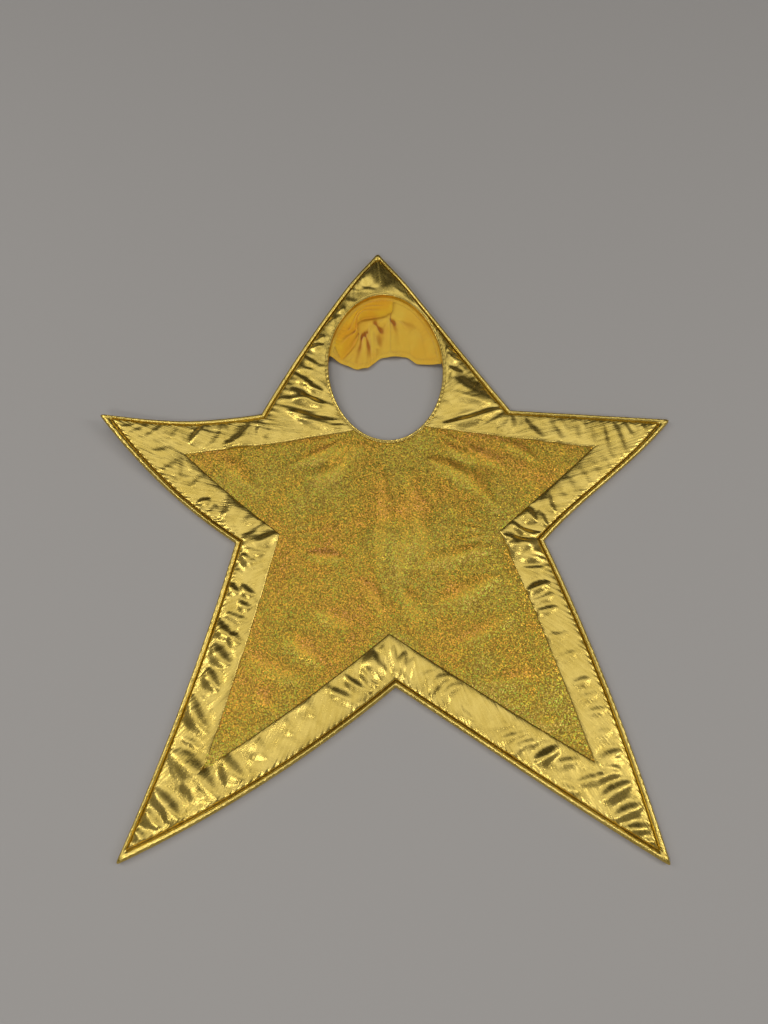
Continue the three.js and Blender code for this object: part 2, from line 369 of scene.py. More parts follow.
def joined(name, *pieces):
    """One piece of several whose edges meet, with the points that they share made one."""
    made = bmesh.new()
    for piece in pieces:
        made.from_mesh(piece.data)
    bmesh.ops.remove_doubles(made, verts=made.verts, dist=2e-6)
    mesh = bpy.data.meshes.new(name)
    made.to_mesh(mesh)
    made.free()
    mesh.polygons.foreach_set("use_smooth", np.ones(len(mesh.polygons), bool))
    for piece in pieces:
        bpy.data.objects.remove(piece)
    return placed(name, mesh)


def hole_gap(x, y, grow):
    """How far points are outside the opening's outline, grown by some millimetres."""
    gap = np.full(np.shape(x), 1e9)
    for px, py in face_line(np.linspace(0, 4, 160, endpoint=False), grow):
        gap = np.minimum(gap, np.hypot(x - px, y - py))
    return gap


turns = steps_round(STAR, 4.0)
angles = np.radians(np.linspace(180, 340, 8))
roll = [
    raised(star_line(STAR, turns, EDGE_RADIUS * (1 + np.cos(a)), TIP_CUT), EDGE_MIDDLE + EDGE_MIDDLE * np.sin(a))
    for a in angles
]
valley, inner = star_line(STAR, turns, VALLEY), inner_line(turns)
shares = np.linspace(0, 1, 22)[:, None, None]


def lining_over(plan):
    """The lining over a plan: two sizes of soft slack that die out at the opening, where it is sewn."""
    x, y = plan[..., 0], plan[..., 1]
    slack = 0.5 * noise(x, y, 38, 3) + 0.25 * noise(x, y, 13, 4)
    return raised(plan, LINING_Z + slack * smooth(hole_gap(x, y, HOLE_HEM) / 20) * 0.9)


band = np.concatenate([np.stack(roll), lining_over(valley * (1 - shares) + inner * shares)])
centre = lining_over(middle_plan(turns, 30))
lining = joined(
    "back_lining",
    weave("lining_band", band, flip=True),
    weave("lining_centre", centre, pole=centre[-1].mean(0), flip=True),
)

satin, place = begin("lining_satin")
threads = place.stretched(1, 9, 1, turn=0.5).noise(900, detail=2)
crush = place.noise(55, detail=4)
close(
    place,
    {
        "Base Color": crush.blend((0.46, 0.30, 0.09, 1), (0.58, 0.40, 0.14, 1)),
        "Roughness": 0.42 + 0.2 * threads,
        "Normal": (0.4 * threads + 1.0 * crush).bump(place, 0.0009),
        "Sheen Weight": 0.3,
    },
)
lining.data.materials.append(satin)
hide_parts("back_cover")
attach(lining, "panel")

# Elastic strap: a ribbed white band across the wearer's back, its ends sewn under two square patches of the
# lining cloth. It lies slack against the lining, so it ripples a little.
STRAP = {"y": 59, "width": 25, "half_length": 178, "middle_z": 1.35, "half_thick": 0.5}


def squared_off(wave, power):
    """A wave between -1 and 1 with its size raised to a power: below 1, it runs flatter at its ends."""
    return np.sign(wave) * np.abs(wave) ** power


turn = np.linspace(0, 2 * np.pi, 44, endpoint=False)
x = np.linspace(-STRAP["half_length"], STRAP["half_length"], 240)
side = squared_off(np.cos(turn), 0.35)
thick = squared_off(np.sin(turn), 0.7)
ribs = 1 + 0.22 * np.cos(side * np.pi * 9)
across, along = np.meshgrid(turn, x, indexing="ij")
width = STRAP["width"] / 2 * (1 + 0.02 * noise(along, 0 * along, 9, 11))
ripple = 0.22 * np.sin(along / 14 + 0.8 * np.sin(along / 47))
strap_grid = np.stack(
    [
        along,
        STRAP["y"] + 0.6 * np.sin(along / 60) + side[:, None] * width,
        STRAP["middle_z"] + ripple + STRAP["half_thick"] * (thick * ribs)[:, None],
    ],
    -1,
)
strap = weave("elastic_strap", strap_grid, around=False, across=True, flip=True)

elastic, place = begin("elastic_webbing")
rib = place.node("TexWave", {"bands_direction": "X"}, {"Vector": place, "Scale": 160, "Distortion": 0.6}, out="Fac")
fluff = place.noise(1500, detail=3)
close(
    place,
    {
        "Base Color": (0.6 * rib + 0.4 * fluff).blend((0.72, 0.70, 0.66, 1), (0.90, 0.89, 0.86, 1)),
        "Roughness": 0.75 + 0.2 * fluff,
        "Normal": (rib + 0.4 * fluff).bump(place, 0.0004),
    },
)
strap.data.materials.append(elastic)
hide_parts("back_elastic")
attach(strap, "panel")



def thicken(piece, thickness, side):
    """Gives a sheet its thickness, in metres: to both sides of it where side is 0, and behind it where it is -1."""
    cloth = piece.modifiers.new("cloth", "SOLIDIFY")
    cloth.thickness, cloth.offset = thickness, side


PATCH = {"half": 16.8, "face_z": 2.45, "fall": 0.3}
for name, x_middle in (("strap_patch_left", -162), ("strap_patch_right", 162)):
    # A patch is a flat square whose face falls away to its stitched edge.
    u, v = np.meshgrid(np.linspace(-1, 1, 27), np.linspace(1, -1, 27), indexing="ij")
    edge = np.maximum(np.abs(u), np.abs(v))
    fall = PATCH["fall"] * (1 - smooth((1 - edge) * 7))
    face = PATCH["face_z"] + 0.1 * noise(x_middle + u * 17, v * 17, 4, 21) - fall
    across, along = x_middle + PATCH["half"] * u, STRAP["y"] + PATCH["half"] * v
    patch = weave(name, np.stack([across, along, face], -1), around=False, flip=True)
    thicken(patch, 0.0004, 0)
    patch.data.materials.append(satin)
    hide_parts(name.replace("strap_patch", "elastic_patch"))
    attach(patch, "panel")

# Padding: a sheet of white polyester wadding between the two cloths, thin at its edges, which stops short of the
# boning channel and of the face opening.
PAD = {"under": 3.9, "top": 7.4, "inset": 10.5}

pad_outer, pad_inner = star_line(STAR, turns, PAD["inset"]), inner_line(turns)


def pad_over(plan, from_edge, side):
    """The pad's top or underside, side 1 or -1: both meet at the star's edge and at the opening."""
    x, y = plan[..., 0], plan[..., 1]
    swell = np.sqrt(smooth(from_edge / 9) * smooth(hole_gap(x, y, HOLE_HEM) / 9))
    loft = 0.25 * noise(x, y, 9, 31)
    middle = (PAD["under"] + PAD["top"]) / 2
    return raised(plan, middle + swell * (side * (PAD["top"] - PAD["under"]) / 2 + loft))


shares = np.linspace(0, 1, 20)[:, None, None]
plan = pad_outer * (1 - shares) + pad_inner * shares
from_edge = np.linalg.norm(plan - pad_outer, axis=-1)
centre = middle_plan(turns, 28)
layers = []
for side, flip in ((1, False), (-1, True)):
    band, middle = pad_over(plan, from_edge, side), pad_over(centre, 99.0, side)
    layers.append(weave("pad_band", band, flip=flip))
    layers.append(weave("pad_centre", middle, pole=middle[-1].mean(0), flip=flip))
padding = joined("padding", *layers)

wadding, place = begin("polyester_wadding")
fibres = place.stretched(1, 1, 3).noise(420, detail=6, roughness=0.7)
close(
    place,
    {
        "Base Color": fibres.blend((0.74, 0.73, 0.70, 1), (0.92, 0.91, 0.89, 1)),
        "Roughness": 0.85 + 0.15 * fibres,
        "Normal": fibres.bump(place, 0.0012),
    },
)
padding.data.materials.append(wadding)
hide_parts("wadding_core")
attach(padding, "panel")

# Inset star: olive-gold cloth with a holographic glitter print, cut as a smaller star. Its edges run under the
# border, and broad soft folds cross it from the opening, the waists and the crotch.
INSET_Z = 8.4


def folds(x, y, table, back=3.2):
    """The height that a list of folds adds. A fold runs from (x, y) to (x, y), right end first, bowed sideways by
    bend: over its half width the cloth climbs a smooth step on the side towards the head end, and sinks again over
    a back that many half widths wide. Its width swells from both ends as a sine's root and its height as the sine
    to the power of 0.8."""
    total = np.zeros(np.shape(x))
    for x0, y0, x1, y1, half_width, height, bend in table:
        length = np.hypot(x1 - x0, y1 - y0)
        dx, dy = (x1 - x0) / length, (y1 - y0) / length
        margin = half_width * (2 + back) + abs(bend)
        near = (x > min(x0, x1) - margin) & (x < max(x0, x1) + margin)
        near &= (y > min(y0, y1) - margin) & (y < max(y0, y1) + margin)
        px, py = x[near] - x0, y[near] - y0
        u = np.clip((px * dx + py * dy) / length, 0, 1)
        swell = np.sin(np.pi * u)
        off = -px * dy + py * dx - bend * 4 * u * (1 - u)
        q = off / (half_width * (swell**0.5 + 0.05))
        step = smooth((q + 1) / 2) * (1 - smooth((q - 1) / back)) - 0.3 * np.exp(-((q + 1.7) ** 2))
        total[near] += height * swell**0.8 * step
    return total


# Folds in the inset, which climb towards the feet: left end, right end, half width, height, bend. The cloth takes
# them narrower, higher and bowed the other way, by SOFT_SCALE.
SOFT_SCALE = (1, 1, 1, 1, 0.8, 2, -1)
SOFT_FOLDS = [
    (-9, 90, -14, -84, 9, 1.5, -3), (16, 60, 22, -120, 10, 1.2, 3), (28, 118, 60, -110, 13, 1, 6),
    (-120, -62, -60, -70, 8, 1.5, 4), (-96, 40, -20, 118, 12, 1.4, -5), (-150, 84, -36, 122, 10, 0.9, 4),
    (66, 96, 165, 8, 11, 1.7, -5), (84, 118, 188, 72, 10, 1, 4), (52, -80, 158, -52, 9, 1.2, 4),
    (70, -150, 170, -96, 11, 1.4, 5), (100, -196, 196, -150, 10, 1.3, 3), (120, -262, 228, -238, 9, 0.9, 3),
    (180, -318, 250, -300, 7, 1.1, 2), (-150, -186, -84, -236, 9, 1.4, 3), (-196, -210, -110, -262, 11, 1, 3),
    (-120, -150, -34, -178, 12, 1.1, 4), (-206, -176, -176, -140, 8, 1, 0), (20, -110, 48, -176, 10, 1.3, 3),
    (-40, -96, -2, -164, 9, 1.2, 3), (-190, -262, -150, -300, 9, 0.9, 0), (176, 120, 236, 90, 7, 0.9, 0),
    (-262, 92, -196, 40, 9, 0.9, 0),
]

# Fans of long shallow folds: the pinch they leave from, the angle they spread about, folds to the radian, height
# and reach.
FANS = [
    (6, -182, 92, 3.6, 0.9, 230), (176, -26, 190, 3.2, 0.8, 170), (-163, -29, -10, 3.2, 0.8, 150),
    (66, 150, -45, 3, 0.9, 230), (-48, 146, -125, 3, 0.9, 220),
]


def fan(x, y, px, py, aim, count, tall, reach):
    """Folds that spread from a pinch: a squared cosine of the angle round it, sharp at its crests, which swells over
    the first quarter of its reach and dies away by the end of it and 50 degrees to either side."""
    radius, angle = np.hypot(x - px, y - py), np.arctan2(y - py, x - px) - np.radians(aim)
    angle = (angle + np.pi) % (2 * np.pi) - np.pi
    wander = 2.2 * noise(x, y, 60, 46)
    near = smooth(radius / (0.25 * reach)) * (1 - smooth(radius / reach)) * smooth((0.9 - np.abs(angle)) / 0.4)
    return tall * near * ((1 + np.cos(2 * np.pi * count * angle + wander)) / 2) ** 2


plan = middle_plan(steps_round(INSET, 3.0), 84, grow=3.0)
shares = np.linalg.norm(plan - INSET_MIDDLE, axis=-1) / np.linalg.norm(plan[0] - INSET_MIDDLE, axis=-1)
x, y = plan[..., 0], plan[..., 1]
held = smooth((1 - shares) * 12)
x_bent, y_bent = x + 7 * noise(x, y, 46, 41), y + 7 * noise(x, y, 46, 42)
waves = folds(x_bent, y_bent, np.array(SOFT_FOLDS) * SOFT_SCALE, back=2.4) + 0.6 * noise(x, y, 60, 43)
waves += 0.22 * noise(x_bent, y_bent, 17, 44) + 0.12 * noise(x_bent, y_bent, 8, 45)
middle = raised(INSET_MIDDLE, INSET_Z + 0.6)
waves += sum(fan(x, y, *row) for row in FANS)
waves = np.maximum(waves, -0.3)  # so that no dip reaches the padding
# How high each point stands on its fold, which the material paints as a highlight: painted highlight along the
# crests.
fold_highlight_share = np.clip(waves / 2.6, 0, 1) * held
inset = weave("glitter_inset", raised(plan, INSET_Z + 0.6 * held + held * waves), pole=middle, shade=fold_highlight_share)

glitter, place = begin("hologram_cloth")
flakes = place.node("TexVoronoi", {}, {"Vector": place, "Scale": 780, "Randomness": 1.0}, out="Color")
flake = flakes.node("SeparateColor", {}, {"Color": flakes}, out=0)
tint = flakes.node("SeparateColor", {}, {"Color": flakes}, out=1)
drift = place.noise(9, detail=2)
streak = place.stretched(1, 0.4, 1, turn=0.25).noise(34, detail=3)
facing = place.node("NewGeometry", {}, {}, out="Normal")
# slope: which way the cloth faces along y, which shifts the print's hue below: painted iridescent reflection.
slope = place.node("SeparateXYZ", {}, {"Vector": facing}, out=1)
# The folds' crests, read back: the print is lighter there and its hue shifted, as painted highlight.
fold_highlight = place.node("Attribute", {"attribute_name": "shade"}, {}, out="Fac")
hue = tint * 0.62 + drift.between(0.35, 0.65) * 0.3 + streak * 0.26 - slope * 0.8 - 0.1 * fold_highlight
RAINBOW = [
    (0.08, (0.88, 0.32, 0.15)),
    (0.24, (0.88, 0.36, 0.04)),
    (0.44, (0.68, 0.41, 0.05)),
    (0.62, (0.42, 0.42, 0.03)),
    (0.80, (0.16, 0.44, 0.06)),
    (0.96, (0.80, 0.55, 0.16)),
]
print_colour = hue.node("ValToRGB", {"stops": RAINBOW}, {"Fac": hue})
spark = flake.between(0.6, 0.95)
ground = streak.blend((0.41, 0.235, 0.034, 1), (0.54, 0.325, 0.06, 1))
colour = (0.22 + 0.5 * spark).blend(ground, print_colour)
# Flakes differ in brightness at random, and the folds' crests are lighter still: painted highlight.
flake_tone_and_highlight = (flake.between(0.1, 1.0) + 0.35 * fold_highlight).blend((0.52, 0.51, 0.46, 1), (1.5, 1.48, 1.25, 1))
colour = colour.node("Mix", {"data_type": "RGBA", "blend_type": "MULTIPLY"}, {0: 1.0, 6: colour, 7: flake_tone_and_highlight}, out=2)
centred = place.node("VectorMath", {"operation": "SUBTRACT"}, {0: flakes, 1: (0.5, 0.5, 0.5)})
tilted = place.node("VectorMath", {"operation": "MULTIPLY_ADD"}, {0: centred, 1: (0.42, 0.42, 0.1), 2: facing})
crumple = place.noise(170, detail=4)
rough = crumple.node("Bump", {}, {"Strength": 0.5, "Distance": 0.0005, "Height": crumple, "Normal": tilted})
close(
    place,
    {
        "Base Color": colour,
        "Metallic": 0.85,
        "Roughness": 0.34 + 0.16 * tint,
        "Normal": rough,
    },
)
inset.data.materials.append(glitter)
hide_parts("hologram_inset")
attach(inset, "panel")

# Border: bright foil lame, the wide band round the inset. It is rolled over the boning and topstitched, and the
# stitching gathers it, so it puckers at the edge, fans at the inner corners and folds across the arms and legs.
BORDER_Z = 8.9
CROWN = 2.4  # how far the padding swells the band between its seams

# Right end, left end, half width, height, bend, of the folds in the foil. The foil takes them wider and higher, by
# FOIL_SCALE.
FOIL_SCALE = (1, 1, 1, 1, 1.3, 1.25, 1)
LEFT_ARM = [
    (-285, 157, -309, 122, 5, 4.2, -3), (-214, 163, -258, 121, 5.5, 4, 5), (-188, 143, -201, 165, 2.5, 2, 0),
    (-194, 132, -198, 152, 2.5, 1.6, 0), (-317, 60, -320, 101, 4, 2.1, 0), (-238, 38, -256, -8, 6.5, 3.6, 3),
    (-268, 31, -292, 22, 2.5, 1.8, 0), (-262, 22, -276, 2, 3, 1.6, 2), (-163, -23, -224, -39, 5, 4.2, 5),
    (-184, -9, -226, -33, 3.5, 2.4, 4), (-176, -56, -219, -46, 4, 3.4, 3), (-182, -72, -222, -52, 3, 2.2, 3),
    (-336, 120, -366, 108, 2.5, 1, 2), (-388, 156, -428, 147, 2, 0.8, 2), (-372, 158, -408, 136, 2.5, 0.9, 3),
    (-352, 160, -386, 128, 2.5, 1, 4), (-336, 92, -352, 74, 3, 1.1, 2), (-330, 160, -342, 128, 3, 1, 2),
    (-282, 72, -300, 48, 3.5, 1.3, 0), (-206, 14, -216, -12, 5, 1.6, 2), (-262, 160, -270, 130, 3.5, 1.6, 2),
]
RIGHT_ARM = [
    (190, 187, 88, 155, 3.6, 4.6, 3), (196, 178, 150, 150, 3, 2.2, 0), (197, 175, 180, 143, 2.6, 2.2, 0),
    (200, 172, 194, 138, 2.4, 1.8, 0), (253, 127, 224, 165, 5, 1.8, 2), (304, 121, 300, 161, 3.5, 0.9, 0),
    (284, 122, 262, 160, 4, 0.8, 2), (332, 104, 326, 158, 3.5, 0.8, 2), (376, 103, 360, 161, 3.2, 1.7, -2),
    (391, 130, 379, 159, 2.6, 1.1, 0), (411, 142, 404, 161, 2.2, 0.8, 0), (356, 92, 346, 158, 3, 0.7, 2),
    (292, 32, 283, 66, 3.2, 1.6, 0), (278, 22, 262, 62, 2.8, 0.8, 0), (312, 48, 304, 84, 3, 0.8, 0),
    (332, 60, 322, 98, 3, 0.7, 0), (259, 4, 250, 42, 3.2, 2.4, 2), (231, -11, 214, 20, 4.2, 4.2, 0),
    (247, -20, 234, 12, 2.6, 2, 0), (238, -26, 190, -8, 3, 3.4, 7), (238, -32, 198, -18, 2.8, 3.2, 5),
    (236, -37, 172, -28, 3.6, 3.6, 4), (236, -41, 196, -37, 2.6, 2.6, 2),
]
RIGHT_LEG = [
    (236, -56, 180, -44, 5.4, 5.4, -4), (238, -66, 196, -66, 2.8, 1.8, -2), (240, -78, 200, -82, 2.6, 1.4, 0),
    (241, -102, 202, -119, 3.4, 3.4, -3), (246, -120, 212, -132, 3, 1.2, -2),
    (252, -140, 212, -149, 2.6, 1.6, -2), (262, -178, 226, -184, 3.4, 1, 0),
    (270, -206, 236, -218, 3.2, 1.1, -2), (286, -242, 258, -251, 2.8, 1.7, -2),
    (296, -262, 262, -270, 2.6, 1, 0), (306, -284, 272, -292, 2.6, 1.4, -2), (312, -312, 282, -318, 2.6, 1, 0),
    (322, -337, 282, -356, 3.4, 3, -3), (322, -352, 286, -362, 2.6, 1.8, -2),
    (318, -366, 282, -372, 2.8, 2.4, -3), (331, -379, 282, -403, 3.6, 3.6, -4),
    (300, -372, 250, -384, 2.8, 2, -4), (341, -407, 296, -423, 3.4, 3.4, -3), (350, -434, 300, -437, 4, 3.4, -2),
    (354, -452, 310, -449, 3, 2.6, 0), (235, -334, 198, -357, 4, 4, -2), (262, -350, 220, -360, 2.8, 2, -2),
    (210, -326, 166, -336, 2.6, 1.6, -2), (196, -314, 146, -330, 2.6, 1.4, -2),
    (188, -334, 160, -346, 2.4, 1.3, 0), (262, -392, 230, -382, 3, 1.4, 0),
]
LEFT_LEG = [
    (-188, -121, -210, -106, 3, 2.6, 2), (-212, -121, -229, -103, 3.2, 3.2, 0),
    (-192, -139, -214, -129, 3, 2.6, 2), (-196, -160, -232, -146, 2.8, 1.6, 0),
    (-216, -185, -241, -156, 4.4, 4.4, 2), (-206, -195, -218, -176, 3.4, 2.6, 0),
    (-216, -225, -242, -191, 4.4, 4.4, 2), (-232, -262, -247, -226, 4.4, 4.2, 0),
    (-241, -318, -271, -264, 4.8, 5, 2), (-252, -336, -279, -320, 2.4, 1.8, 0),
    (-258, -350, -282, -330, 2.2, 1.8, 0), (-219, -404, -293, -336, 6.4, 5.6, -8),
    (-266, -431, -308, -386, 4.8, 4.6, -2), (-294, -438, -316, -412, 3.6, 3.4, 0),
    (-302, -454, -331, -439, 3.6, 3.2, 0), (-300, -461, -338, -457, 3.6, 2.4, 0),
    (-189, -379, -216, -346, 6, 4, 0), (-156, -349, -172, -322, 5, 2.4, 0), (-122, -318, -136, -296, 5, 1.3, 0),
    (-92, -296, -106, -268, 5, 1.4, 0), (-250, -392, -270, -378, 3, 2, 0), (-240, -402, -262, -394, 2.6, 1.6, 0),
    (-212, -92, -232, -66, 2.8, 1.8, 0), (-186, -80, -214, -58, 3.6, 2, 2),
]
CROTCH = [
    (-4, -247, -16, -203, 5, 4.4, 0), (-9, -254, -33, -229, 2.8, 2.8, 2), (-15, -260, -57, -236, 3.2, 2.6, 3),
    (-24, -266, -84, -252, 3.6, 1.8, 4), (3, -246, 0, -194, 3, 1.8, 2), (26, -246, 32, -206, 3, 2.8, 2),
    (16, -244, 14, -196, 2.6, 1.6, 0), (34, -250, 44, -214, 2.8, 1.8, 2), (66, -276, 98, -240, 3.4, 2, 8),
    (86, -284, 112, -252, 3, 1.5, 6), (52, -266, 74, -232, 3, 1.4, 5), (126, -300, 104, -276, 3, 1.2, 3),
]
TOP = [
    (178, 199, 107, 246, 8.5, 5, 3), (127, 249, 103, 257, 3, 2.6, 2), (125, 271, 101, 283, 2.8, 2.6, 2),
    (121, 281, 101, 295, 2.4, 2.2, 2), (176, 186, 110, 186, 3.4, 1.6, 2), (172, 192, 104, 212, 3.4, 1.4, 0),
    (-94, 191, -154, 222, 4.4, 4.8, 3), (-97, 215, -131, 233, 3.4, 3.4, 2), (-72, 162, -158, 182, 3.2, 3.8, 3),
    (-63, 153, -146, 170, 2.8, 2.6, 3), (-116, 252, -146, 270, 2.6, 1.6, 2), (-116, 230, -149, 250, 2.8, 1.8, 2),
    (-108, 262, -136, 284, 2.6, 1.6, 2), (-100, 300, -127, 297, 2.6, 2.2, 0),
    (-100, 318, -120, 308, 2.6, 1.6, 0), (-94, 178, -170, 190, 2.8, 1.6, 3), (-112, 204, -176, 206, 2.8, 1.6, 3),
    (-12, 405, -14, 474, 9, 3.4, 0), (-30, 408, -22, 446, 4, 1.6, 0), (42, 380, 12, 436, 7, 1.6, 0),
    (-44, 404, -34, 426, 4, 1.6, 0), (-84, 352, -98, 340, 2.6, 1.6, 0), (-72, 374, -82, 360, 2.6, 1.6, 0),
]
BIG_FOLDS = LEFT_ARM + RIGHT_ARM + RIGHT_LEG + LEFT_LEG + CROTCH + TOP

# How the small creases lie along each edge of the border: angle from +X in degrees, and how strong they are.
GRAIN = [
    *((158, 0.7), (102, 1.0), (106, 0.9), (196, 0.8), (206, 1.0)),
    *((140, 1.1), (126, 1.4), (150, 1.0), (50, 1.0), (164, 1.3)),
]


def small_folds(count, seed):
    """Random creases laid over the border: one at a random place on it, along the grain of its edge give or take
    14 degrees, and mostly short and low."""
    draw = np.random.default_rng(seed)
    s = draw.uniform(0, 10, count)
    share = draw.uniform(0.04, 0.96, count)[:, None]
    place = star_line(STAR, s, VALLEY) * (1 - share) + inner_line(s) * share
    grain = np.array(GRAIN)[s.astype(int)]
    angle = np.radians(grain[:, 0] + draw.normal(0, 14, count))
    half = draw.uniform(9, 26, count)
    reach = half[:, None] * np.stack([np.cos(angle), np.sin(angle)], 1)
    width = draw.uniform(2.0, 4.6, count)
    height = width * draw.uniform(0.06, 0.22, count) * grain[:, 1]
    return np.column_stack([place - reach, place + reach, width, height, draw.normal(0, 1.5, count)]).tolist()


def travelled(path):
    """How far along a path each of its points is."""
    return np.concatenate([[0], np.cumsum(np.linalg.norm(np.diff(path, axis=0), axis=1))])


turns = steps_round(STAR, 2.15)
travel = travelled(star_line(STAR, turns))
angles = np.radians(np.linspace(180, 8, 11))
roll = []
for a in angles:
    # Gathers lean along the roll like the strands of a rope, and die out at the edge seam.
    strand = np.sin(2 * np.pi * travel / 10.5 + 1.4 * a + 2.6 * noise(travel, 0 * travel, 31, 51))
    gather = (0.12 * strand + 0.2 * noise(travel, 4 * a + 0 * travel, 8, 52)) * np.sin(a)
    ring = star_line(STAR, turns, EDGE_RADIUS * (1 + np.cos(a)) - 0.25 * gather, TIP_CUT)
    roll.append(raised(ring, EDGE_MIDDLE + EDGE_MIDDLE * np.sin(a) + gather))
valley = star_line(STAR, turns, VALLEY)
inner = inner_line(turns)
shares = (np.linspace(0, 1, 38) ** 1.25)[:, None]
plan = valley * (1 - shares[..., None]) + inner * shares[..., None]
x, y = plan[..., 0], plan[..., 1]
across = np.linalg.norm(valley - inner, axis=1)
from_rim, from_seam = shares * across, (1 - shares) * across
crown = CROWN * (1 - np.exp(-from_rim / 7)) * (1 - np.exp(-from_seam / 8))
crown = crown * (1 - 0.85 * smooth((y - 340) / 60))
x_bent, y_bent = x + 1.6 * noise(x, y, 40, 53), y + 1.6 * noise(x, y, 40, 55)
cloth = folds(x_bent, y_bent, np.array(BIG_FOLDS) * FOIL_SCALE)
cloth = cloth + folds(x_bent, y_bent, small_folds(170, 57), back=2.2)
pucker = np.sin(2 * np.pi * travel / 11.5 + 2.2 * noise(travel, 0 * travel, 27, 58))
cloth += 0.55 * pucker * np.exp(-from_rim / 9)
cloth += 0.1 * noise(travel + 0.3 * from_rim, from_rim, np.array([7.0, 60.0]), 59)
cloth += 0.35 * noise(travel - 0.2 * from_rim, from_rim, np.array([18.0, 80.0]), 60)
cloth += 0.5 * noise(x, y, 50, 61)
hold = smooth(from_rim / 5 + 0.12) * smooth(from_seam / 4.5)
height = BORDER_Z - 4.2 * np.exp(-from_rim / 0.7) + crown + hold * cloth
floor_line = 8.1 - 3.4 * np.exp(-from_rim / 0.7)
height = np.where(height < floor_line, floor_line + 0.3 * np.tanh(height - floor_line), height)
field = raised(plan, height)
tuck = raised(inner, INSET_Z + 0.35 + 0 * travel)[None]
depth = np.concatenate([-14.0 + np.arange(len(angles))[:, None] + 0 * travel, from_rim, from_rim[-1:] + 0.5])
cloth_map = np.stack([np.broadcast_to(travel, depth.shape), depth], -1)
border = weave("foil_border", np.concatenate([np.stack(roll), field, tuck]), uv=cloth_map)

# The cloth's map runs along the edge and then across the border, so the fine gathers in the foil do too. Along the
# thread line, where the map crosses 0, the colour is darkened almost to black: painted shade in the valley.
foil, place = begin("foil_lame")
cloth_place = place.node("UVMap", {}, {})
weft = cloth_place.node("SeparateXYZ", {}, {"Vector": cloth_place}, out=1)
gathers = cloth_place.stretched(1, 0.16, 1).noise(150, detail=3, roughness=0.55)
threads = cloth_place.stretched(1, 0.3, 1).noise(520, detail=2)
grain = place.noise(560, detail=3, roughness=0.6)
rub = place.noise(30, detail=4, roughness=0.6)
wear = gathers * 0.45 + rub * 0.55
# crease: painted shade, a near-black line in the valley beside the edge roll
crease = 1 - weft.maths("ABSOLUTE", weft).between(0.0003, 0.0015)
yellow = wear.between(0.3, 0.7).blend((0.59, 0.42, 0.085, 1), (0.79, 0.59, 0.155, 1))
close(
    place,
    {
        "Base Color": (0.85 * crease).blend(yellow, (0.05, 0.035, 0.01, 1)),
        "Metallic": 1.0,
        "Roughness": 0.19 + 0.14 * grain + 0.05 * rub,
        "Normal": (gathers * 1.0 + threads * 0.25 + grain * 0.4).bump(place, 0.0005),
    },
)
border.data.materials.append(foil)
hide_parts("front_border")
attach(border, "panel")

# Topstitching: one row of gold lockstitch in the valley beside the edge roll, right round the star. Each stitch
# is a short thread that dips into the cloth at both ends.
STITCH = {"pitch": 3.6, "length": 2.6, "radius": 0.22}


def stitch_row(name, path, material, stitch):
    """Stitches along a closed or open path of 3-D points: on each, a tube of five rings, whose rings' centres rise
    over a half sine between its ends, and whose radius narrows at them."""
    travel = travelled(path)
    starts = np.arange(0, travel[-1] - stitch["length"], stitch["pitch"])
    u = np.linspace(0, 1, 5)
    at = starts[:, None] + stitch["length"] * u
    centre = np.stack([np.interp(at, travel, path[:, k]) for k in range(3)], -1)
    centre[..., 2] += 1.1 * stitch["radius"] * (np.sin(np.pi * u) - 0.35)
    along = np.gradient(centre, axis=1)
    along /= np.linalg.norm(along, axis=-1)[..., None]
    side = np.cross(along, (0, 0, 1))
    side /= np.linalg.norm(side, axis=-1)[..., None]
    up = np.cross(side, along)
    radius = stitch["radius"] * (0.45 + 0.55 * np.sin(np.pi * u))
    turn = np.linspace(0, 2 * np.pi, 6, endpoint=False)
    ring = np.cos(turn)[:, None] * side[:, :, None] + np.sin(turn)[:, None] * up[:, :, None]
    points = centre[:, :, None] + radius[:, None, None] * ring
    count = len(starts)
    one = np.arange(30).reshape(5, 6)
    one = np.hstack([one, one[:, :1]])
    quads = np.stack([one[:-1, :-1], one[1:, :-1], one[1:, 1:], one[:-1, 1:]], -1).reshape(-1, 4)
    caps = np.array([[0, 1, 2, 3], [0, 3, 4, 5], [29, 28, 27, 26], [29, 26, 25, 24]])
    faces = np.vstack([quads, caps]) + 30 * np.arange(count)[:, None, None]
    mesh = bpy.data.meshes.new(name)
    mesh.from_pydata((points.reshape(-1, 3) * 0.001).tolist(), [], faces.reshape(-1, 4).tolist())
    mesh.polygons.foreach_set("use_smooth", np.ones(len(mesh.polygons), bool))
    mesh.materials.append(material)
    return placed(name, mesh)


# The thread is gold darkened to a dark brown, far below the foil: its own colour with painted shade of the valley it
# lies in.
thread, place = begin("gold_thread")
ply = place.noise(2600, detail=2)
close(
    place,
    {
        "Base Color": ply.blend((0.17, 0.115, 0.03, 1), (0.30, 0.21, 0.06, 1)),
        "Roughness": 0.5 + 0.2 * ply,
        "Normal": ply.bump(place, 0.0001),
        "Sheen Weight": 0.2,
    },
)
row = field[0][np.r_[0 : len(turns), 0]]
stitches = stitch_row("edge_topstitching", row + (0, 0, 0.3), thread, STITCH)
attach(stitches, "panel")

